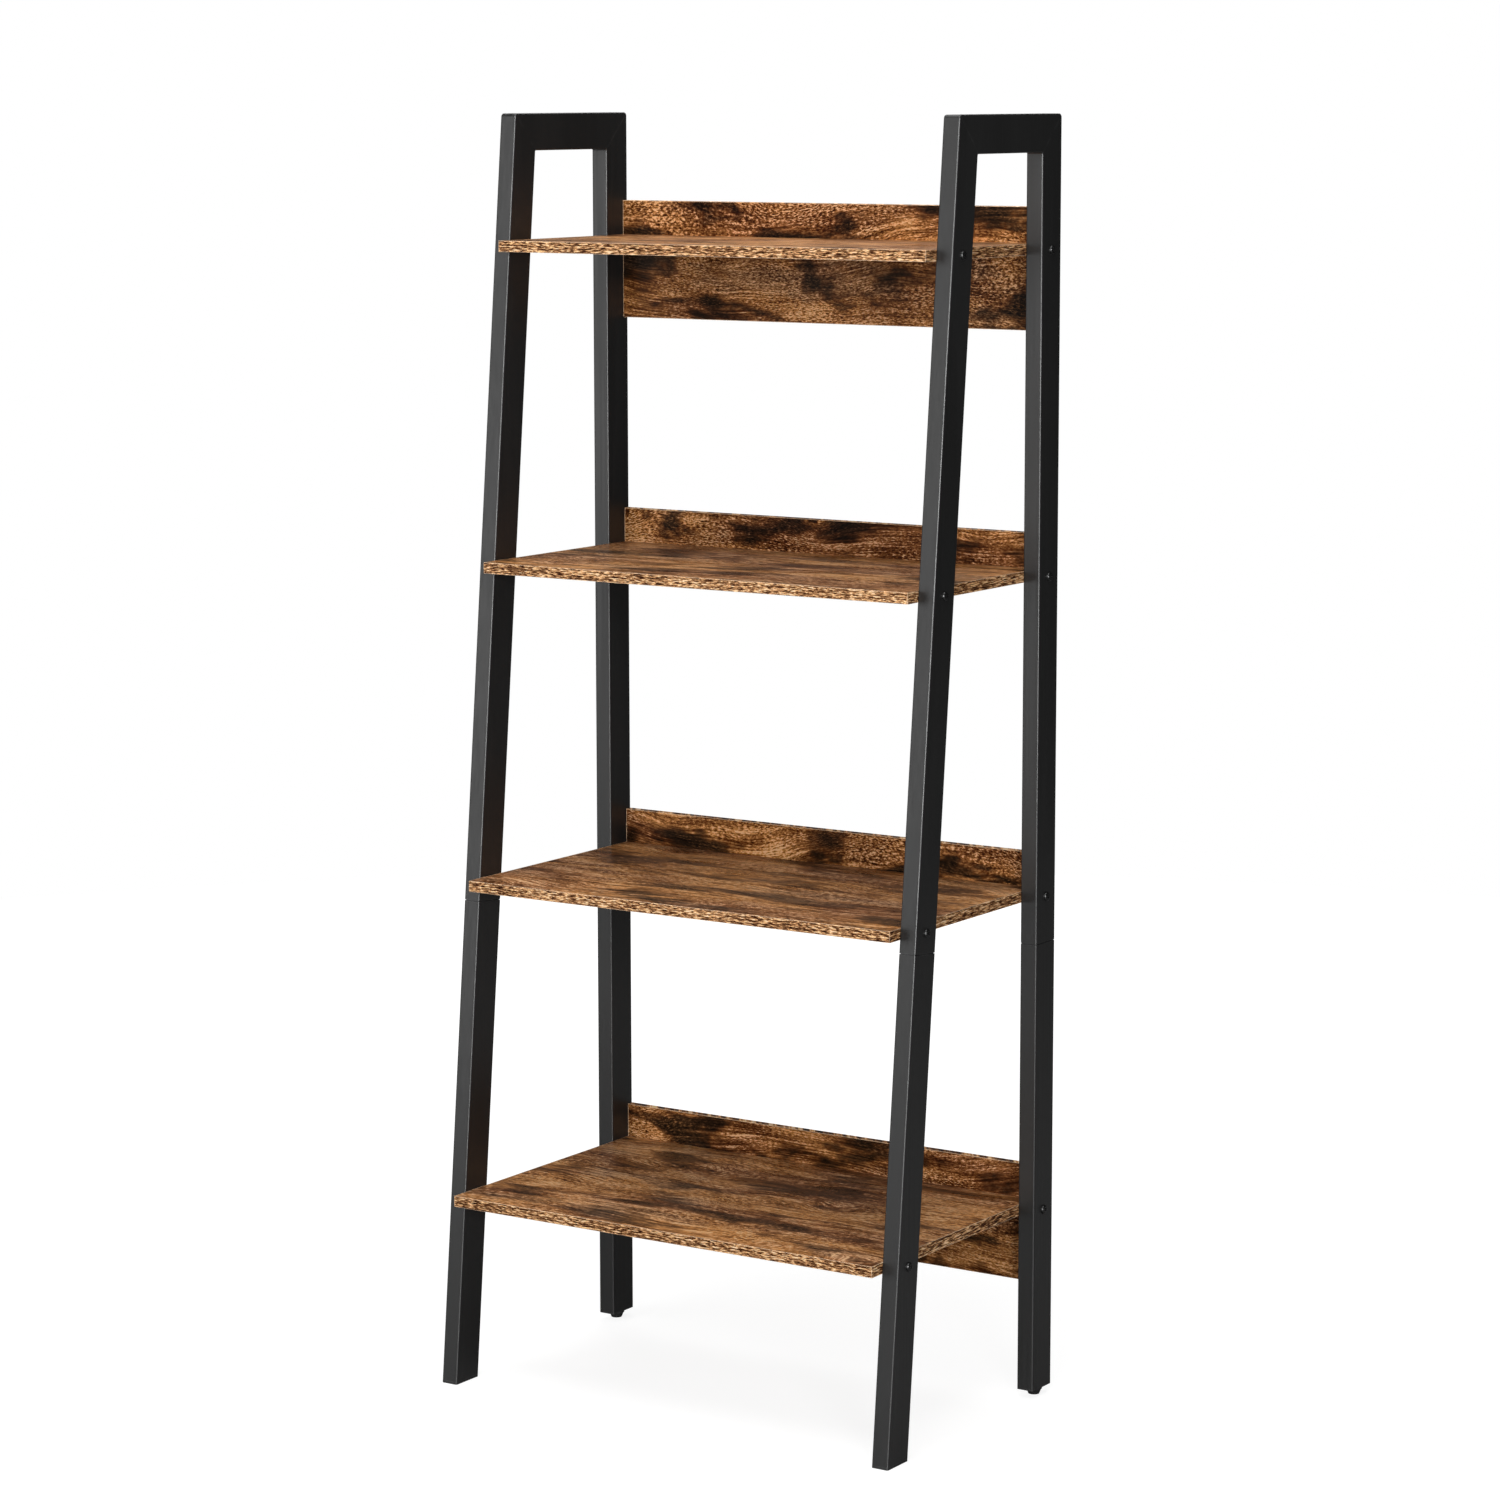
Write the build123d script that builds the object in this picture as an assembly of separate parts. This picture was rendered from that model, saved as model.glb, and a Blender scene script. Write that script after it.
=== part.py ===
from build123d import *
import os
from math import atan, cos, sin, tan

# A four-tier ladder shelf: two welded side frames of rectangular steel tube carry four boards,
# and a low panel stands behind each board. +X is the shelf's right, +Y its back, +Z up, in
# millimetres. The origin is on the floor, under the middle of the shelf.

# Overall size
WIDTH = 575.0
DEPTH = 340.0
HEIGHT = 1380.0
BACK = DEPTH / 2

# Steel tube of the side frames
TUBE_WIDTH = 20.0
TUBE_DEPTH = 40.0
TUBE_WALL = 1.2
TUBE_EDGE = 2.0
BORE_WIDTH = TUBE_WIDTH - 2 * TUBE_WALL
BORE_DEPTH = TUBE_DEPTH - 2 * TUBE_WALL
BORE_EDGE = TUBE_EDGE - TUBE_WALL
INNER_X = WIDTH / 2 - TUBE_WIDTH

# Side frame: the front leg leans back, the rear leg is upright, and a rail joins them on top
TOP_DEPTH = 209.0
LEAN = atan((DEPTH - TOP_DEPTH) / HEIGHT)
LEG_SECTION = TUBE_DEPTH / cos(LEAN)
OUTER_CORNER = 4.0
INNER_CORNER = 2.0
FRONT_SPLIT = 529.5
REAR_SPLIT = 501.0
SPLIT_GAP = 1.0
LEG_PARTING = 60.0    # an upright plane here passes between the two legs

# Sleeves inside the legs, where the lower legs plug into the upper frame
SLEEVE_WALL = 1.5
FRONT_SLEEVE = (-62.0, 50.0)
REAR_SLEEVE = (-62.0, 76.0)

# Boards, with the height of each one's upper face from the top tier down
SHELF_TOPS = (1245.0, 901.0, 557.0, 213.0)
BOARD = 12.0
FRONT_OVERHANG = 19.6
BANDING = 0.6
ARRIS = 0.25

# Back panels: the top and bottom tiers have deep ones
PANEL = 9.0
PANEL_ABOVE = 38.0
PANEL_BELOW = (92.0, BOARD, BOARD, 92.0)

# Bolts through the tubes, and the threaded inserts that they turn into in the boards' ends
BOLT_RADIUS = 3.0
BOLT_REACH = 13.0
BOLT_HOLE_RADIUS = 3.3
HEAD_RADIUS = 5.0
HEAD_HEIGHT = 2.8
HEX_KEY = 4.0
HEX_DEPTH = 1.6
INSERT_RADIUS = 4.5
INSERT_LENGTH = 15.0
RUNNING_GAP = 0.05

# Countersunk screws that hold each panel to its board
SCREW_RADIUS = 1.95
SCREW_LENGTH = 34.0
SCREW_HEAD_RADIUS = 3.6
SCREW_HEAD_DEPTH = 2.4
SCREW_SPAN = 200.0

# Feet
CAP_PLATE = 2.5
CAP_PLUG = 14.0
FOOT_GAP = 8.0
PLUG_FLANGE = 1.0
PLUG_HEIGHT = 18.0
NUT_FLATS = 10.0
NUT_HEIGHT = 5.0
STUD_RADIUS = 3.0
STUD_TOP = 36.0
PAD_HEIGHT = 7.0
PAD_TOP_RADIUS = 9.0
PAD_BOTTOM_RADIUS = 6.0
COLLAR_RADIUS = 4.6
COLLAR_BOTTOM = 2.6
COLLAR_HEIGHT = 1.6
COLLAR_GAP = 0.3

SIDES = (("left", -1), ("right", 1))


def front_face(z):
    """Where the front leg's front face is at height z."""
    return -DEPTH / 2 + z * tan(LEAN)


def leg_middle(z):
    return front_face(z) + LEG_SECTION / 2


def bolt_points():
    """The (y, z) of every bolt in one side frame: two for each board, at mid-thickness."""
    heights = [top - BOARD / 2 for top in SHELF_TOPS]
    rear = BACK - TUBE_DEPTH / 2
    return [(y, z) for z in heights for y in (leg_middle(z), rear)]


def rod(radius, x0, x1, y, z):
    """A round bar along X."""
    return extrude(Plane((x0, y, z), x_dir=(0, 1, 0), z_dir=(1, 0, 0)) * Circle(radius), x1 - x0)


def block(x0, x1, y0, y1, z0, z1):
    return Pos((x0 + x1) / 2, (y0 + y1) / 2, (z0 + z1) / 2) * Box(x1 - x0, y1 - y0, z1 - z0)


def slab(face, width, centre_x):
    """An outline in (y, z), made width thick along X about centre_x."""
    return extrude(Plane.YZ.offset(centre_x - width / 2) * face, width, dir=(1, 0, 0))


def side_outline(inset):
    """The side frame seen along X, as one face. Its feet run on below the floor to be cut off."""
    low = -30.0
    top = HEIGHT - inset
    under = HEIGHT - TUBE_DEPTH + inset
    skew = inset / cos(LEAN)

    def leg_front(z):
        return front_face(z) + skew

    def leg_back(z):
        return front_face(z) + LEG_SECTION - skew

    outer = [(leg_front(top), top), (BACK - inset, top)]
    inner = [(BACK - TUBE_DEPTH + inset, under), (leg_back(under), under)]
    points = [(leg_front(low), low), *outer, (BACK - inset, low),
              (BACK - TUBE_DEPTH + inset, low), *inner, (leg_back(low), low)]
    face = Polygon(*points, align=None)
    for corners, radius in ((outer, OUTER_CORNER - inset), (inner, INNER_CORNER + inset)):
        for y, z in corners:
            spot = face.vertices().sort_by_distance((y, z, 0))[0]
            face = fillet(spot, radius)
    return face, low


def side_solid(inset, width, edge, centre_x):
    """The side frame's outline at this inset, as a solid with its long edges rounded."""
    face, low = side_outline(inset)
    solid = slab(face, width, centre_x)
    flanks = [centre_x - width / 2, centre_x + width / 2]
    rims = [e for e in solid.edges()
            if any(abs(e.center().X - x) < 1e-6 for x in flanks) and e.center().Z > low + 1.0]
    return fillet(rims, edge)


def cut(solid, origin, normal):
    """The part of a solid that lies on the side that the normal points to."""
    return split(solid, bisect_by=Plane(origin=origin, x_dir=(1, 0, 0), z_dir=normal), keep=Keep.TOP)


def side_frame(side, sign):
    """Five hollow tubes: they meet at two mitred corners and part at two plug joints."""
    centre_x = sign * (WIDTH - TUBE_WIDTH) / 2
    frame = side_solid(0.0, TUBE_WIDTH, TUBE_EDGE, centre_x)
    frame -= side_solid(TUBE_WALL, BORE_WIDTH, BORE_EDGE, centre_x)
    for y, z in bolt_points():
        frame -= rod(BOLT_HOLE_RADIUS, centre_x - TUBE_WIDTH, centre_x + TUBE_WIDTH, y, z)

    under = HEIGHT - TUBE_DEPTH
    front_corner = (centre_x, front_face(HEIGHT), HEIGHT)
    front_miter = (0, under - HEIGHT, front_face(HEIGHT) - front_face(under) - LEG_SECTION)
    rear_corner = (centre_x, BACK, HEIGHT)
    rear_miter = (0, 1, -1)
    half = SPLIT_GAP / 2
    up_leg = Vector(0, sin(LEAN), cos(LEAN))
    front_split = Vector(centre_x, leg_middle(FRONT_SPLIT), FRONT_SPLIT)
    rear_split = Vector(centre_x, BACK, REAR_SPLIT)
    up = Vector(0, 0, 1)

    front_half = cut(frame, (centre_x, LEG_PARTING, 0), (0, -1, 0))
    rear_half = cut(frame, (centre_x, LEG_PARTING, 0), (0, 1, 0))
    front_leg = cut(front_half, front_corner, front_miter)
    rear_leg = cut(rear_half, rear_corner, rear_miter)
    rail = cut(cut(frame, front_corner, -Vector(front_miter)), rear_corner, -Vector(rear_miter))
    upper_front = cut(front_leg, front_split + up_leg * half, up_leg)
    lower_front = cut(cut(front_leg, front_split - up_leg * half, -up_leg), (0, 0, CAP_PLATE), up)
    upper_rear = cut(rear_leg, rear_split + up * half, up)
    lower_rear = cut(cut(rear_leg, rear_split - up * half, -up), (0, 0, FOOT_GAP + PLUG_FLANGE), up)
    return {
        side + "_top_rail": rail,
        side + "_upper_front_leg": upper_front,
        side + "_lower_front_leg": lower_front,
        side + "_upper_rear_leg": upper_rear,
        side + "_lower_rear_leg": lower_rear,
    }


def sleeve(centre, axis, reach):
    """A short inner tube along a leg, from reach[0] below to reach[1] above the joint."""
    start = centre + axis * reach[0]
    plane = Plane(origin=start, x_dir=(1, 0, 0), z_dir=axis)
    section = RectangleRounded(BORE_WIDTH, BORE_DEPTH, BORE_EDGE)
    section -= Rectangle(BORE_WIDTH - 2 * SLEEVE_WALL, BORE_DEPTH - 2 * SLEEVE_WALL)
    tube = extrude(plane * section, reach[1] - reach[0])
    for y, z in bolt_points():
        tube -= rod(BOLT_HOLE_RADIUS, centre.X - TUBE_WIDTH, centre.X + TUBE_WIDTH, y, z)
    return tube


def sleeves(side, sign):
    centre_x = sign * (WIDTH - TUBE_WIDTH) / 2
    front = Vector(centre_x, leg_middle(FRONT_SPLIT), FRONT_SPLIT)
    rear = Vector(centre_x, BACK - TUBE_DEPTH / 2, REAR_SPLIT)
    return {
        side + "_front_sleeve": sleeve(front, Vector(0, sin(LEAN), cos(LEAN)), FRONT_SLEEVE),
        side + "_rear_sleeve": sleeve(rear, Vector(0, 0, 1), REAR_SLEEVE),
    }


def leaning_block(width, inset, z0, z1, centre_x, edge):
    """A piece of the front leg's own section between two heights."""
    skew = inset / cos(LEAN)
    points = [(front_face(z0) + skew, z0), (front_face(z1) + skew, z1),
              (front_face(z1) + LEG_SECTION - skew, z1), (front_face(z0) + LEG_SECTION - skew, z0)]
    solid = slab(Polygon(*points, align=None), width, centre_x)
    rims = [e for e in solid.edges() if e.bounding_box().size.Z > 0.9 * (z1 - z0)]
    return fillet(rims, edge)


def front_cap(side, sign):
    """The plastic cap that closes the front leg and stands on the floor."""
    centre_x = sign * (WIDTH - TUBE_WIDTH) / 2
    plate = leaning_block(TUBE_WIDTH, 0.0, 0.0, CAP_PLATE, centre_x, TUBE_EDGE)
    plug = leaning_block(BORE_WIDTH, TUBE_WALL, CAP_PLATE, CAP_PLATE + CAP_PLUG, centre_x, BORE_EDGE)
    return {side + "_front_foot_cap": plate + plug}


def levelling_foot(side, sign):
    """A plug with a nut in the rear leg, and a pad that hangs on the stud's collar."""
    x = sign * (WIDTH - TUBE_WIDTH) / 2
    y = BACK - TUBE_DEPTH / 2
    spot = Pos(x, y, 0)
    low = FOOT_GAP
    high = FOOT_GAP + PLUG_FLANGE + PLUG_HEIGHT

    flange = extrude(RectangleRounded(TUBE_WIDTH, TUBE_DEPTH, TUBE_EDGE), PLUG_FLANGE)
    body = extrude(RectangleRounded(BORE_WIDTH, BORE_DEPTH, BORE_EDGE), high - low)
    nut_outline = RegularPolygon(NUT_FLATS / 2, 6, major_radius=False)
    nut_pocket = Pos(0, 0, high - low - NUT_HEIGHT) * extrude(nut_outline, NUT_HEIGHT)
    passage = extrude(Circle(BOLT_HOLE_RADIUS), high - low)
    plug = Pos(0, 0, low) * (flange + body - nut_pocket - passage)
    nut = extrude(nut_outline - Circle(STUD_RADIUS + RUNNING_GAP), NUT_HEIGHT)
    nut = Pos(0, 0, high - NUT_HEIGHT) * nut

    collar = Pos(0, 0, COLLAR_BOTTOM) * extrude(Circle(COLLAR_RADIUS), COLLAR_HEIGHT)
    shank = Pos(0, 0, COLLAR_BOTTOM) * extrude(Circle(STUD_RADIUS), STUD_TOP - COLLAR_BOTTOM)
    stud = chamfer(shank.edges().sort_by(Axis.Z)[-1], 0.6) + collar

    cup_low = COLLAR_BOTTOM - COLLAR_GAP
    cup_high = COLLAR_BOTTOM + COLLAR_HEIGHT + COLLAR_GAP
    neck = STUD_RADIUS + RUNNING_GAP
    profile = Polygon(
        (0, 0), (PAD_BOTTOM_RADIUS, 0), (PAD_TOP_RADIUS - 0.8, PAD_HEIGHT - 1.6),
        (PAD_TOP_RADIUS, PAD_HEIGHT - 1.2), (PAD_TOP_RADIUS, PAD_HEIGHT), (neck, PAD_HEIGHT),
        (neck, cup_high), (COLLAR_RADIUS + COLLAR_GAP, cup_high),
        (COLLAR_RADIUS + COLLAR_GAP, cup_low), (0, cup_low), align=None)
    pad = revolve(Plane.XZ * profile, Axis.Z)
    return {
        side + "_rear_leg_plug": spot * plug,
        side + "_foot_nut": spot * nut,
        side + "_foot_stud": spot * stud,
        side + "_foot_pad": spot * pad,
    }


def bolt(sign, y, z):
    """A button-head bolt, driven in from the frame's outer face."""
    face_x = WIDTH / 2
    standing = (Align.CENTER, Align.CENTER, Align.MIN)
    dome = Cylinder(HEAD_RADIUS, HEAD_HEIGHT, align=standing)
    dome = fillet(dome.edges().sort_by(Axis.Z)[-1], HEAD_HEIGHT * 0.75)
    socket = RegularPolygon(HEX_KEY / 2, 6, major_radius=False)
    dome -= Pos(0, 0, HEAD_HEIGHT - HEX_DEPTH) * extrude(socket, HEX_DEPTH)
    length = TUBE_WIDTH + BOLT_REACH
    shank = Pos(0, 0, -length / 2) * Cylinder(BOLT_RADIUS, length)
    shank = chamfer(shank.edges().sort_by(Axis.Z)[0], 0.6)
    return Plane((sign * face_x, y, z), x_dir=(0, 1, 0), z_dir=(sign, 0, 0)) * (dome + shank)


def insert(sign, y, z):
    """A threaded barrel, flush with the end of its board."""
    end = INNER_X
    barrel = rod(INSERT_RADIUS, end - INSERT_LENGTH, end, y, z)
    barrel -= rod(BOLT_RADIUS + RUNNING_GAP, end - INSERT_LENGTH, end, y, z)
    return barrel if sign > 0 else mirror(barrel, about=Plane.YZ)


def fasteners(side, sign):
    spots = bolt_points()
    return {
        side + "_frame_bolts": Compound([bolt(sign, y, z) for y, z in spots]),
        side + "_threaded_inserts": Compound([insert(sign, y, z) for y, z in spots]),
    }


def screw_xs():
    return (-SCREW_SPAN, 0.0, SCREW_SPAN)


def screw(x, z, gap=0.0):
    """A countersunk screw from the panel's back face; gap widens it into its own hole."""
    radius = SCREW_RADIUS + gap
    head = SCREW_HEAD_RADIUS + gap
    shape = Cone(radius, head, SCREW_HEAD_DEPTH, align=(Align.CENTER, Align.CENTER, Align.MAX))
    shape += Cylinder(radius, SCREW_LENGTH + gap, align=(Align.CENTER, Align.CENTER, Align.MAX))
    if gap == 0.0:
        slot = Box(0.9, 4.4, 1.2, align=(Align.CENTER, Align.CENTER, Align.MAX))
        shape -= slot + Rot(0, 0, 90) * slot
    return Plane((x, BACK, z), x_dir=(1, 0, 0), z_dir=(0, 1, 0)) * shape


def board(number, top):
    """A chipboard shelf with an edge band on its front and its two ends."""
    z0 = top - BOARD
    middle = top - BOARD / 2
    front = front_face(middle) - FRONT_OVERHANG
    rear = BACK - PANEL
    core = block(-INNER_X + BANDING, INNER_X - BANDING, front + BANDING, rear, z0, top)
    strips = [block(-INNER_X, INNER_X, front, front + BANDING, z0, top),
              block(-INNER_X, -INNER_X + BANDING, front + BANDING, rear, z0, top),
              block(INNER_X - BANDING, INNER_X, front + BANDING, rear, z0, top)]
    for y, z in (p for p in bolt_points() if abs(p[1] - middle) < 1.0):
        for end in (-INNER_X, INNER_X):
            hole = rod(INSERT_RADIUS + RUNNING_GAP, end - INSERT_LENGTH, end + INSERT_LENGTH, y, z)
            core -= hole
            strips = [strip - hole for strip in strips]
    for x in screw_xs():
        core -= screw(x, middle, RUNNING_GAP)
    front_rims = strips[0].edges().filter_by(Axis.X).group_by(Axis.Y)[0]
    strips[0] = chamfer(front_rims, ARRIS)
    name = f"shelf_{number}"
    return {name: core, name + "_edge_band": Compound(strips)}


def back_panel(number, top, below):
    """A panel on edge behind a board, flush with the rear legs and banded on all four edges."""
    low = top - below
    high = top + PANEL_ABOVE
    end = INNER_X - BANDING
    core = block(-end, end, BACK - PANEL, BACK, low + BANDING, high - BANDING)
    for x in screw_xs():
        core -= screw(x, top - BOARD / 2, RUNNING_GAP)
    strips = [block(x, x + BANDING, BACK - PANEL, BACK, low + BANDING, high - BANDING)
              for x in (-INNER_X, end)]
    for z0, rim in ((low, 0), (high - BANDING, -1)):
        strip = block(-INNER_X, INNER_X, BACK - PANEL, BACK, z0, z0 + BANDING)
        rims = strip.edges().filter_by(Axis.X).group_by(Axis.Z)[rim]
        strips.append(chamfer(rims, ARRIS))
    name = f"back_panel_{number}"
    return {name: core, name + "_edge_band": Compound(strips)}


def all_nodes():
    nodes = {}
    for side, sign in SIDES:
        for make in (side_frame, sleeves, front_cap, levelling_foot, fasteners):
            nodes.update(make(side, sign))
    for number, (top, below) in enumerate(zip(SHELF_TOPS, PANEL_BELOW), start=1):
        nodes.update(board(number, top))
        nodes.update(back_panel(number, top, below))
    screws = [screw(x, top - BOARD / 2) for top in SHELF_TOPS for x in screw_xs()]
    nodes["back_panel_screws"] = Compound(screws)
    return nodes


os.makedirs("parts", exist_ok=True)
for node, shape in all_nodes().items():
    export_step(shape, f"parts/{node}.step")
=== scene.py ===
from math import radians

import bmesh
import bpy
from mathutils import Matrix, Vector

# A ladder shelf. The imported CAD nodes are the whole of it: this script gives each one its finish, and
# sets a studio around them. Metres, in the CAD frame.

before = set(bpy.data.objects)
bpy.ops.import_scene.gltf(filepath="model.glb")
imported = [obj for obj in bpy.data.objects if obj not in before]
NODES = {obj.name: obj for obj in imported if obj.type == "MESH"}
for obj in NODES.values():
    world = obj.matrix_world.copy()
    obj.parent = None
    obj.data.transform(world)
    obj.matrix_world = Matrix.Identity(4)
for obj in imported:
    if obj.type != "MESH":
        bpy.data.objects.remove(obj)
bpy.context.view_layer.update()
SIDES = ("left", "right")
TIERS = (1, 2, 3, 4)


def gray(value):
    return (value, value, value, 1.0)


# Camera: its place, its heading, pitch and roll in radians, its lens and sensor in millimetres
CAMERA_PLACE = (2.5707, -3.8948, 1.4092)
CAMERA_YAW = 0.5821
CAMERA_PITCH = -0.1498
CAMERA_ROLL = -0.0014
CAMERA_LENS = 105.657
SENSOR_WIDTH = 36.0
CLIP_START = 0.1
CLIP_END = 60.0

# Studio: a pale disc of floor, a white backdrop, and lights that all face one point
FLOOR_RADIUS = 3.2
FLOOR_SEGMENTS = 128
FLOOR_DROP = 0.0004    # keeps the floor off the feet's flat undersides
FLOOR_DARK = gray(0.24)
FLOOR_LIGHT = gray(0.28)
GLOW_FROM = 0.5
GLOW_TO = 0.8 * FLOOR_RADIUS
MIDDLE_GLOW = 0.86
RIM_GLOW = 1.0
WORLD_FILL = 0.035
LIGHT_TARGET = (0.0, 0.0, 0.7)
LIGHTS = (    # name, place, width, height, watts
    ("front_left_softbox", (-2.7, -3.5, 1.2), 2.8, 3.0, 62.0),
    ("front_softbox", (1.2, -4.8, 2.3), 2.6, 2.0, 75.0),
    ("top_softbox", (0.2, -1.0, 4.0), 2.6, 2.2, 110.0),
    ("right_strip", (3.3, -3.2, 0.9), 1.0, 2.6, 100.0),
    ("back_softbox", (-1.6, 2.6, 4.2), 2.6, 2.0, 60.0),
)
EDGE_STRIP = ("edge_strip", (2.9, -4.4, 1.4), 0.5, 2.6, 300.0)

# Black powder coat
COAT_DARK = gray(0.009)
COAT_LIGHT = gray(0.016)
COAT_RUBBED = (0.110, 0.110, 0.112, 1.0)

# Printed oak. One unit of tone multiplies the colour by TONE_STEP.
TONE_STEP = 1.65
DARK_OAK = (0.200, 0.075, 0.024, 1.0)
GOLDEN_OAK = (0.440, 0.190, 0.058, 1.0)
WEATHERED_OAK = (0.240, 0.135, 0.072, 1.0)
PALE_OAK = (0.330, 0.200, 0.122, 1.0)
SMOKE = (0.090, 0.070, 0.055, 1.0)
OAK_SHADE = (1.0, 0.66, 0.42, 1.0)
OAK_DARKEST = (0.0020, 0.0014, 0.0010)
OAK_PALEST = (0.72, 0.44, 0.23)
WEATHERED_SHARE = 0.60
SMOKE_SHARE = 0.30
KNOT_RIM = 0.045       # how far a knot's dark rim is from its middle, in knot cells
GRAIN_WANDER = 0.110
KNOT_BEND = 0.016
LINE_GAIN = (11.0, 3.0)
FIBRE_WEIGHT = 4.0
RING_WEIGHT = 4.0
MOTTLE_WEIGHT = 7.0
CRACK_WEIGHT = 2.4
RIM_WEIGHT = 3.0

# How the print differs between the panels, which stand, and the boards, which lie. Their tone entries
# paint light and shade: painted light makes the boards' tops lighter, and painted shade makes the
# panels darker. The crackle and the smoke are in repeats per metre, along the grain and across it.
PANEL_PRINT_AND_SHADE = {"across": "Z", "crackle": (230.0, 700.0), "crackle_gain": (15.0, 26.0),
               "smoke": (8.5, 19.0), "burn": 4.2, "tone": -0.70, "gloss": 0.03}
BOARD_PRINT_AND_LIGHT = {"across": "Y", "crackle": (150.0, 560.0), "crackle_gain": (10.0, 17.0),
               "smoke": (6.5, 22.0), "burn": 2.1, "tone": 0.15, "gloss": 0.10}

# Each tier's number times these says where on the endless pattern its pieces are cut
BOARD_SEED = 1.37
PANEL_SEED = 2.11
PANEL_SEED_START = 5.0
BOARD_BAND_SEED = 1.9
PANEL_BAND_SEED = 2.7

# Edge band
BAND_DARK = (0.150, 0.068, 0.026, 1.0)
BAND_LIGHT = (0.320, 0.165, 0.076, 1.0)
BAND_SHADE = (1.0, 0.55, 0.28, 1.0)
BAND_PALEST = (0.90, 0.66, 0.44)
BAND_RIM = (0.86, 0.62, 0.42, 1.0)
STREAK_WEIGHT = 31.0
PLY_WEIGHT = 10.0
CLOUD_WEIGHT = 4.0

# Small parts
PLASTIC_DARK = gray(0.012)
PLASTIC_LIGHT = gray(0.022)
PLASTIC_RUBBED = gray(0.06)
OXIDE_DARK = gray(0.030)
OXIDE_LIGHT = gray(0.060)
OXIDE_RUBBED = gray(0.35)
ZINC_DULL = (0.42, 0.42, 0.40, 1.0)
ZINC_BRIGHT = (0.66, 0.66, 0.64, 1.0)


# ---------------------------------------------------------------- node helpers

class Tree:
    """A short way to write a material's node tree."""

    def __init__(self, name):
        self.material = bpy.data.materials.new(name)
        self.material.use_nodes = True
        self.tree = self.material.node_tree
        self.shader = self.tree.nodes["Principled BSDF"]
        self.place = self.tree.nodes.new("ShaderNodeTexCoord").outputs["Object"]

    def link(self, source, target):
        """Sets a socket to a plain value, or joins another node's output to it."""
        if isinstance(source, (int, float, tuple)):
            target.default_value = source
        else:
            self.tree.links.new(source, target)

    def add(self, kind, inputs, **settings):
        node = self.tree.nodes.new(kind)
        for key, value in settings.items():
            setattr(node, key, value)
        for key, value in inputs.items():
            self.link(value, node.inputs[key])
        return node

    def math(self, operation, a, b=0.0):
        return self.add("ShaderNodeMath", {0: a, 1: b}, operation=operation).outputs[0]

    def vector(self, operation, a, b):
        return self.add("ShaderNodeVectorMath", {0: a, 1: b}, operation=operation).outputs[0]

    def swing(self, noise, weight):
        """How far a noise is from its middle value, times a weight."""
        return self.math("MULTIPLY", self.math("SUBTRACT", noise, 0.5), weight)

    def total(self, first, *others):
        for part in others:
            first = self.math("ADD", first, part)
        return first

    def split(self, vector):
        return self.add("ShaderNodeSeparateXYZ", {0: vector}).outputs

    def join(self, x, y):
        return self.add("ShaderNodeCombineXYZ", {0: x, 1: y}).outputs[0]

    def stretch(self, vector, scale=(1.0, 1.0, 1.0), shift=(0.0, 0.0, 0.0)):
        inputs = {"Vector": vector, "Scale": scale, "Location": shift}
        return self.add("ShaderNodeMapping", inputs).outputs[0]

    def noise(self, vector, scale, detail=3.0, roughness=0.6, distortion=0.0):
        inputs = {"Vector": vector, "Scale": scale, "Detail": detail,
                  "Roughness": roughness, "Distortion": distortion}
        return self.add("ShaderNodeTexNoise", inputs).outputs["Fac"]

    def grain(self, vector, along, across, shift=(0.0, 0.0), **settings):
        """Noise drawn out along the first axis: its repeats per metre along and across."""
        drawn_out = self.stretch(vector, (along, across, 1.0), (*shift, 0.0))
        return self.noise(drawn_out, 1.0, **settings)

    def cells(self, vector):
        return self.add("ShaderNodeTexVoronoi", {"Vector": vector, "Scale": 1.0}).outputs

    def ramp(self, value, low, high, to_low=0.0, to_high=1.0):
        inputs = {"Value": value, "From Min": low, "From Max": high,
                  "To Min": to_low, "To Max": to_high}
        return self.add("ShaderNodeMapRange", inputs, interpolation_type="SMOOTHSTEP").outputs[0]

    def mix(self, factor, a, b, blend="MIX"):
        return self.add("ShaderNodeMix", {0: factor, 6: a, 7: b},
                        data_type="RGBA", blend_type=blend).outputs[2]

    def brighten(self, color, tone):
        gain = self.math("POWER", TONE_STEP, tone)
        inputs = {0: color, "Scale": gain}
        return self.add("ShaderNodeVectorMath", inputs, operation="SCALE").outputs[0]

    def bump(self, height, distance, strength):
        inputs = {"Height": height, "Distance": distance, "Strength": strength}
        return self.add("ShaderNodeBump", inputs).outputs[0]

    def edge_wear(self, radius, strength):
        """The strength near the piece's own edges and 0 on its flats, from the bevelled normal."""
        bevel = self.add("ShaderNodeBevel", {"Radius": radius}, samples=4).outputs[0]
        normal = self.add("ShaderNodeNewGeometry", {}).outputs["Normal"]
        flatness = self.add("ShaderNodeVectorMath", {0: bevel, 1: normal}, operation="DOT_PRODUCT")
        return self.math("MULTIPLY", self.ramp(flatness.outputs["Value"], 0.995, 0.90), strength)

    def finish(self, color, roughness, normal, specular, metallic=0.0):
        self.link(color, self.shader.inputs["Base Color"])
        self.link(roughness, self.shader.inputs["Roughness"])
        self.link(normal, self.shader.inputs["Normal"])
        self.shader.inputs["Specular IOR Level"].default_value = specular
        self.shader.inputs["Metallic"].default_value = metallic
        return self.material


# ---------------------------------------------------------------- materials

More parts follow.
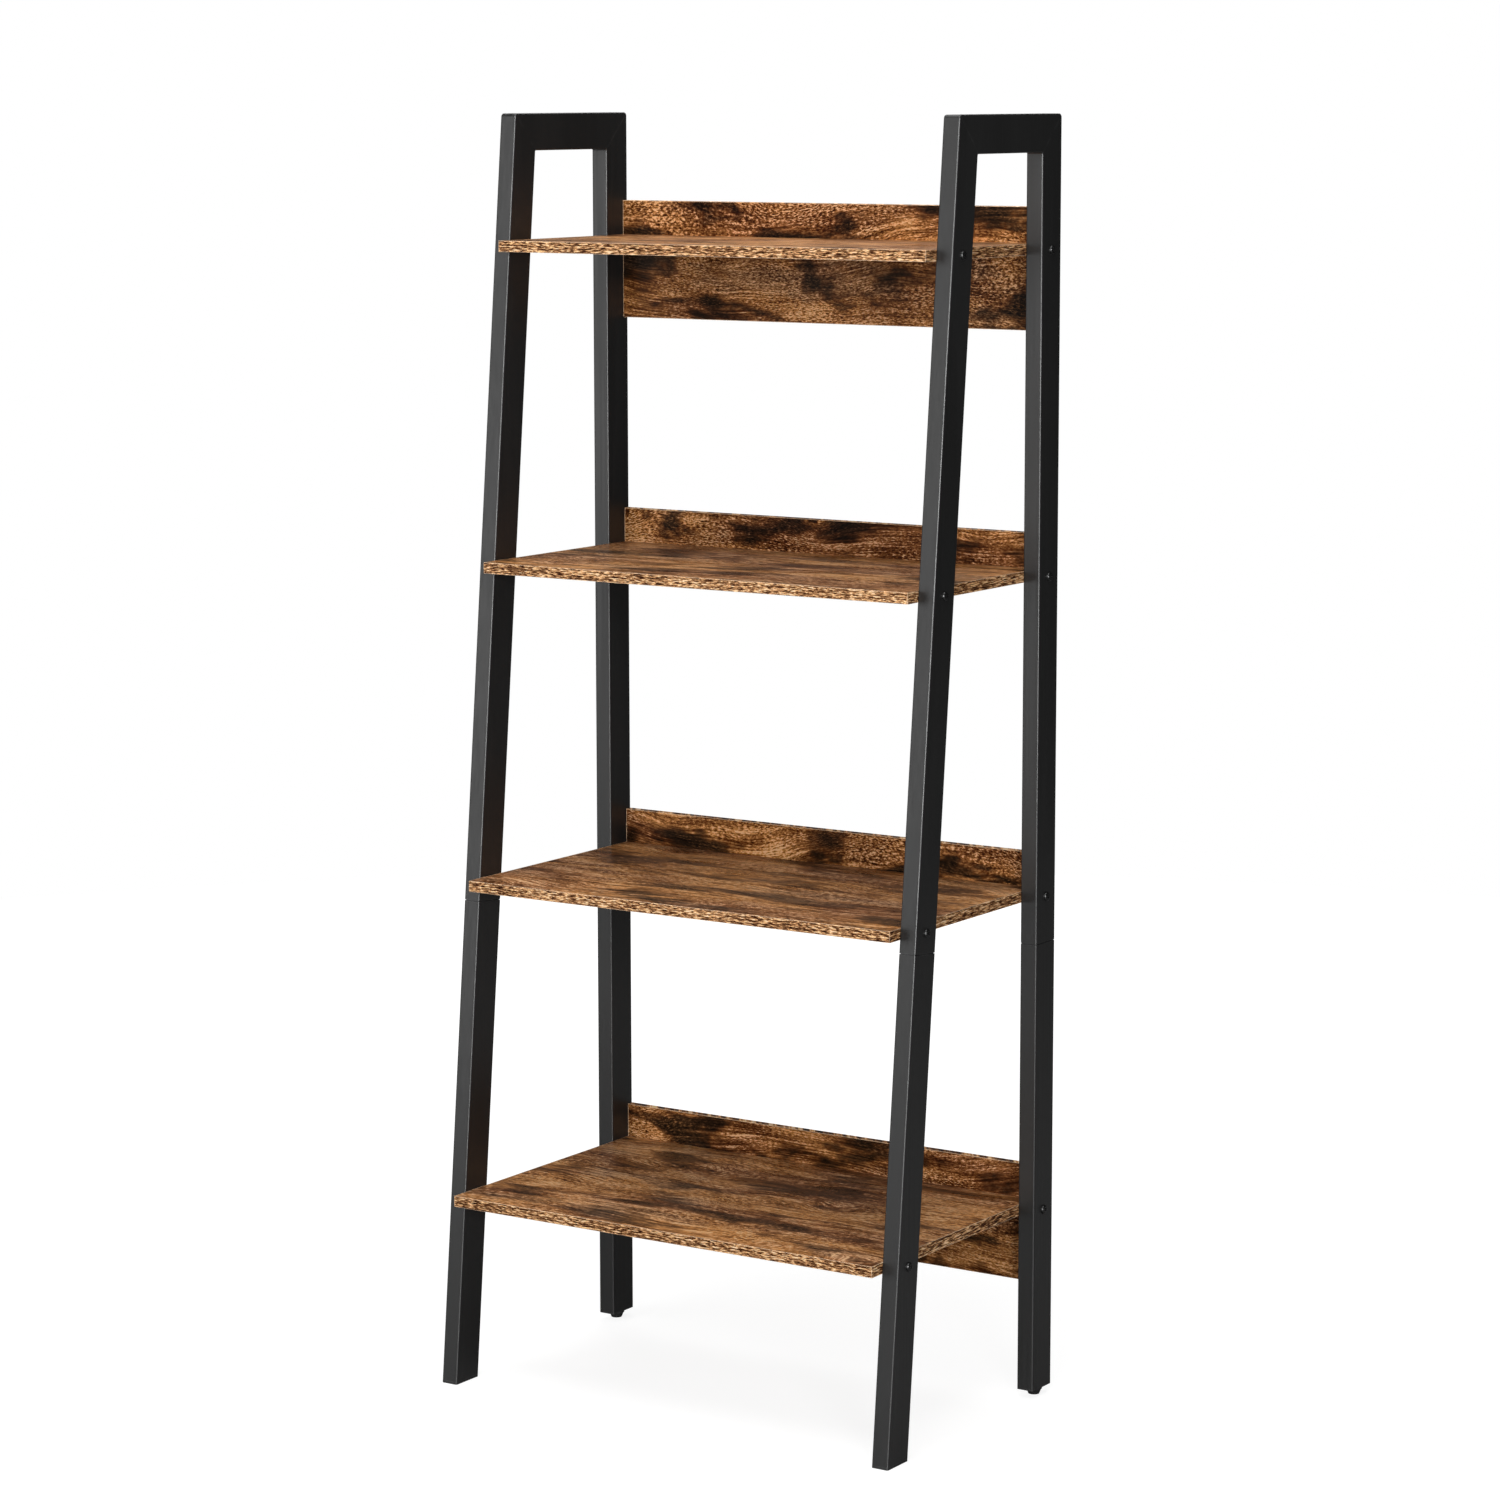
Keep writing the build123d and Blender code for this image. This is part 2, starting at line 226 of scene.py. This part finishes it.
def powder_coat():
    """Satin black powder coat: a fine orange peel, faint draw lines along the tube, rubbed edges."""
    t = Tree("powder_coat")
    peel = t.noise(t.place, 900.0, detail=2.0)
    lines = t.noise(t.stretch(t.place, (420.0, 420.0, 5.0)), 1.0)
    cloud = t.noise(t.stretch(t.place, (9.0, 9.0, 2.2)), 1.0)
    blotch = t.ramp(t.noise(t.place, 60.0, roughness=0.55), 0.35, 0.75)
    rubbed = t.math("MULTIPLY", t.edge_wear(0.0012, 0.55), blotch)
    color = t.mix(rubbed, t.mix(cloud, COAT_DARK, COAT_LIGHT), COAT_RUBBED)
    rough = t.total(t.ramp(cloud, 0.3, 0.7, to_low=0.36, to_high=0.44), t.swing(lines, 0.30))
    height = t.total(t.math("MULTIPLY", peel, 0.6), t.math("MULTIPLY", lines, 0.4))
    return t.finish(color, rough, t.bump(height, 0.00005, 0.8), specular=0.5)


def laminate(name, seed, style):
    """Printed rustic oak: long grain along X, smoky patches, knots, and short dark cracks."""
    t = Tree(name)
    place = t.split(t.place)
    face = t.join(place["X"], place[style["across"]])
    board = t.stretch(face, shift=(3.17 * seed, 1.71 * seed, 0.0))

    # knots, and the slow wander of the grain that flows round them
    knots = t.cells(t.stretch(board, (8.0, 11.0, 1.0)))
    from_knot = knots["Distance"]
    chosen = t.ramp(t.split(knots["Color"])["X"], 0.66, 0.68)
    pull = t.math("MULTIPLY", t.ramp(from_knot, 0.42, 0.0), chosen)
    wander = t.grain(board, 3.0, 6.0, detail=2.0, roughness=0.5)
    bend = t.total(t.math("MULTIPLY", wander, GRAIN_WANDER), t.math("MULTIPLY", pull, KNOT_BEND))
    spot = t.split(board)
    flow = t.join(spot["X"], t.total(spot["Y"], bend))

    # broad zones: golden, red-brown, gray-brown
    zone = t.grain(flow, 4.5, 13.0, roughness=0.55)
    weather = t.grain(board, 5.0, 15.0, shift=(4.0, 9.0), detail=4.0, roughness=0.62)
    color = t.mix(t.ramp(zone, 0.38, 0.62), DARK_OAK, GOLDEN_OAK)
    weathered = t.math("MULTIPLY", t.ramp(weather, 0.52, 0.66), WEATHERED_SHARE)
    color = t.mix(weathered, color, WEATHERED_OAK)

    # the print's crackle, lines, fibre, growth rings and mottle add up to one tone; the style's tone
    # adds painted light to the boards and painted shade to the panels
    crackle = t.grain(flow, *style["crackle"], roughness=0.62, distortion=0.35)
    lines = t.grain(flow, 9.0, 360.0, detail=2.0)
    fibre = t.grain(flow, 30.0, 420.0)
    rings = t.grain(flow, 2.4, 120.0, detail=4.0, roughness=0.65)
    mottle = t.grain(flow, 16.0, 46.0, detail=4.0, roughness=0.65)
    patchy = t.grain(board, 5.0, 12.0, shift=(2.0, 8.0), detail=2.0, roughness=0.5)
    crackled = t.ramp(patchy, 0.40, 0.58)
    crackle_gain = t.ramp(crackled, 0.0, 1.0, *style["crackle_gain"])
    line_gain = t.ramp(crackled, 0.0, 1.0, *LINE_GAIN)
    tone = t.total(t.swing(crackle, crackle_gain), t.swing(lines, line_gain),
                   t.swing(fibre, FIBRE_WEIGHT), t.swing(rings, RING_WEIGHT),
                   t.swing(mottle, MOTTLE_WEIGHT), style["tone"])

    # smoky patches with ragged borders, short cracks where the print is weathered, dark knot rims
    smoke = t.grain(board, *style["smoke"], shift=(11.0, 2.0), detail=5.0, distortion=0.3)
    burned = t.ramp(t.total(smoke, t.swing(crackle, 0.20)), 0.50, 0.62)
    crack = t.grain(flow, 26.0, 330.0, shift=(7.0, 3.0), detail=4.0, roughness=0.7)
    patch = t.grain(board, 7.0, 16.0, shift=(1.0, 6.0), detail=2.0, roughness=0.5)
    threshold = t.ramp(patch, 0.35, 0.70, to_low=0.72, to_high=0.58)
    cracks = t.ramp(t.math("SUBTRACT", crack, threshold), 0.0, 0.06)
    from_rim = t.math("ABSOLUTE", t.math("SUBTRACT", from_knot, KNOT_RIM))
    rim = t.math("MULTIPLY", t.ramp(from_rim, 0.022, 0.006), chosen)
    for mark, weight in ((burned, style["burn"]), (cracks, CRACK_WEIGHT), (rim, RIM_WEIGHT)):
        tone = t.math("SUBTRACT", tone, t.math("MULTIPLY", mark, weight))

    color = t.mix(t.math("MULTIPLY", burned, SMOKE_SHARE), color, SMOKE)
    color = t.mix(t.ramp(tone, 0.2, 3.0, to_high=0.75), color, PALE_OAK)
    color = t.brighten(color, tone)
    shaded = t.math("MULTIPLY", t.ramp(tone, -0.4, -3.4), t.math("SUBTRACT", 1.0, burned))
    color = t.mix(shaded, color, OAK_SHADE, "MULTIPLY")
    color = t.vector("MINIMUM", t.vector("MAXIMUM", color, OAK_DARKEST), OAK_PALEST)

    rough = t.total(t.ramp(mottle, 0.3, 0.7, to_low=0.26, to_high=0.36),
                    t.math("MULTIPLY", cracks, 0.20))
    height = t.math("SUBTRACT", t.math("MULTIPLY", fibre, 0.4), cracks)
    return t.finish(color, rough, t.bump(height, 0.00008, 0.5), style["gloss"])


def edge_band(name, seed):
    """The paler printed band: short dark streaks along it, and pale bare corners."""
    t = Tree(name)
    place = t.split(t.place)
    along = t.total(place["X"], t.math("MULTIPLY", place["Y"], 0.7))
    strip = t.stretch(t.join(along, place["Z"]), shift=(2.3 * seed, 0.7 * seed, 0.0))
    streak = t.grain(strip, 125.0, 760.0, roughness=0.65, distortion=0.5)
    ply = t.grain(strip, 16.0, 560.0)
    cloud = t.grain(strip, 14.0, 60.0, shift=(3.0, 0.0))
    tone = t.total(t.swing(streak, STREAK_WEIGHT), t.swing(ply, PLY_WEIGHT),
                   t.swing(cloud, CLOUD_WEIGHT))
    color = t.brighten(t.mix(cloud, BAND_DARK, BAND_LIGHT), tone)
    color = t.mix(t.ramp(tone, 0.0, -3.0), color, BAND_SHADE, "MULTIPLY")
    color = t.vector("MINIMUM", color, BAND_PALEST)
    color = t.mix(t.edge_wear(0.0011, 0.8), color, BAND_RIM)
    rough = t.ramp(streak, 0.3, 0.7, to_low=0.42, to_high=0.55)
    return t.finish(color, rough, t.bump(streak, 0.00008, 0.5), specular=0.05)


def moulded_plastic():
    """Black moulded plastic with a spark-eroded grain."""
    t = Tree("moulded_plastic")
    grain = t.noise(t.place, 1400.0, roughness=0.65)
    cloud = t.noise(t.place, 55.0)
    color = t.mix(cloud, PLASTIC_DARK, PLASTIC_LIGHT)
    color = t.mix(t.edge_wear(0.0006, 0.5), color, PLASTIC_RUBBED)
    rough = t.ramp(grain, 0.3, 0.7, to_low=0.48, to_high=0.62)
    return t.finish(color, rough, t.bump(grain, 0.00008, 0.7), specular=0.4)


def oxide_steel():
    """Black oxide screws: dark steel that rubs bright at its rims."""
    t = Tree("oxide_steel")
    grain = t.noise(t.place, 1200.0)
    cloud = t.noise(t.place, 180.0)
    color = t.mix(cloud, OXIDE_DARK, OXIDE_LIGHT)
    color = t.mix(t.edge_wear(0.0005, 0.6), color, OXIDE_RUBBED)
    rough = t.ramp(grain, 0.3, 0.7, to_low=0.24, to_high=0.36)
    return t.finish(color, rough, t.bump(grain, 0.00003, 0.6), specular=0.5, metallic=0.9)


def zinc_steel():
    """Bright zinc plating with the faint cloud of a plated barrel."""
    t = Tree("zinc_steel")
    grain = t.noise(t.place, 1100.0)
    cloud = t.noise(t.place, 140.0)
    color = t.mix(cloud, ZINC_DULL, ZINC_BRIGHT)
    rough = t.ramp(grain, 0.3, 0.7, to_low=0.26, to_high=0.40)
    return t.finish(color, rough, t.bump(grain, 0.00003, 0.6), specular=0.5, metallic=0.95)


# ---------------------------------------------------------------- dressing the nodes

def dress(node, material):
    """Gives a CAD node its finish."""
    slots = NODES[node].data.materials
    slots.clear()
    slots.append(material)


def dress_frame():
    coat, plastic, oxide, zinc = powder_coat(), moulded_plastic(), oxide_steel(), zinc_steel()
    finishes = (
        (coat, ("top_rail", "upper_front_leg", "lower_front_leg", "upper_rear_leg",
                "lower_rear_leg", "front_sleeve", "rear_sleeve")),
        (plastic, ("front_foot_cap", "rear_leg_plug", "foot_pad")),
        (oxide, ("frame_bolts",)),
        (zinc, ("threaded_inserts", "foot_nut", "foot_stud")),
    )
    for side in SIDES:
        for material, parts in finishes:
            for part in parts:
                dress(f"{side}_{part}", material)
    dress("back_panel_screws", oxide)


def dress_boards():
    for tier in TIERS:
        panel_seed = PANEL_SEED * tier + PANEL_SEED_START
        dress(f"shelf_{tier}", laminate(f"laminate_board_{tier}", BOARD_SEED * tier, BOARD_PRINT_AND_LIGHT))
        dress(f"back_panel_{tier}", laminate(f"laminate_panel_{tier}", panel_seed, PANEL_PRINT_AND_SHADE))
        dress(f"shelf_{tier}_edge_band", edge_band(f"band_board_{tier}", BOARD_BAND_SEED * tier))
        dress(f"back_panel_{tier}_edge_band", edge_band(f"band_panel_{tier}", PANEL_BAND_SEED * tier))


# ---------------------------------------------------------------- studio

def place_in_scene(thing):
    bpy.context.scene.collection.objects.link(thing)


def area_light(name, place, width, height, watts):
    """A rectangle of light at a place, facing the shelf."""
    data = bpy.data.lights.new(name, "AREA")
    data.shape = "RECTANGLE"
    data.size = width
    data.size_y = height
    data.energy = watts
    light = bpy.data.objects.new(name, data)
    light.location = place
    light.rotation_mode = "QUATERNION"
    light.rotation_quaternion = (Vector(LIGHT_TARGET) - Vector(place)).to_track_quat("-Z", "Y")
    place_in_scene(light)
    return light


def studio_lights():
    """Soft light all round, and a strip that only glints along rounded edges and on bolt heads."""
    for light in LIGHTS:
        area_light(*light)
    area_light(*EDGE_STRIP).visible_diffuse = False


def studio_world():
    """A white backdrop to the camera, and a dim even fill to everything else."""
    world = bpy.data.worlds.new("studio")
    bpy.context.scene.world = world
    world.use_nodes = True
    tree = world.node_tree
    fill = tree.nodes["Background"]
    backdrop = tree.nodes.new("ShaderNodeBackground")
    for background, strength in ((fill, WORLD_FILL), (backdrop, 1.0)):
        background.inputs["Color"].default_value = gray(1.0)
        background.inputs["Strength"].default_value = strength
    rays = tree.nodes.new("ShaderNodeLightPath")
    choose = tree.nodes.new("ShaderNodeMixShader")
    tree.links.new(rays.outputs["Is Camera Ray"], choose.inputs[0])
    tree.links.new(fill.outputs[0], choose.inputs[1])
    tree.links.new(backdrop.outputs[0], choose.inputs[2])
    tree.links.new(choose.outputs[0], tree.nodes["World Output"].inputs["Surface"])


def floor_material():
    """A pale gray floor to the lights. To the camera it glows too, up to the backdrop's white."""
    t = Tree("studio_floor")
    speckle = t.noise(t.place, 240.0)
    t.finish(t.mix(speckle, FLOOR_DARK, FLOOR_LIGHT), 0.9, t.bump(speckle, 0.0001, 0.3), specular=0.1)
    distance = t.add("ShaderNodeVectorMath", {0: t.place}, operation="LENGTH").outputs["Value"]
    strength = t.ramp(distance, GLOW_FROM, GLOW_TO, to_low=MIDDLE_GLOW, to_high=RIM_GLOW)
    glow = t.add("ShaderNodeEmission", {"Color": gray(1.0), "Strength": strength}).outputs[0]
    lit = t.shader.outputs[0]
    seen = t.add("ShaderNodeAddShader", {0: lit, 1: glow}).outputs[0]
    camera_ray = t.add("ShaderNodeLightPath", {}).outputs["Is Camera Ray"]
    surface = t.add("ShaderNodeMixShader", {0: camera_ray, 1: lit, 2: seen}).outputs[0]
    t.link(surface, t.tree.nodes["Material Output"].inputs["Surface"])
    return t.material


def studio_floor():
    mesh = bpy.data.meshes.new("studio_floor")
    shape = bmesh.new()
    bmesh.ops.create_circle(shape, cap_ends=True, radius=FLOOR_RADIUS, segments=FLOOR_SEGMENTS)
    shape.to_mesh(mesh)
    shape.free()
    mesh.materials.append(floor_material())
    floor = bpy.data.objects.new("studio_floor", mesh)
    floor.location.z = -FLOOR_DROP
    place_in_scene(floor)


def studio_camera():
    data = bpy.data.cameras.new("camera")
    data.sensor_width = SENSOR_WIDTH
    data.lens = CAMERA_LENS
    data.clip_start = CLIP_START
    data.clip_end = CLIP_END
    camera = bpy.data.objects.new("camera", data)
    camera.location = CAMERA_PLACE
    heading = Matrix.Rotation(CAMERA_YAW, 4, "Z")
    tilt = Matrix.Rotation(radians(90.0) + CAMERA_PITCH, 4, "X")
    roll = Matrix.Rotation(CAMERA_ROLL, 4, "Z")
    camera.rotation_euler = (heading @ tilt @ roll).to_euler()
    place_in_scene(camera)
    bpy.context.scene.camera = camera


studio_camera()
studio_world()
studio_floor()
studio_lights()
dress_frame()
dress_boards()
bpy.context.scene.view_settings.view_transform = "Standard"

bpy.context.view_layer.update()
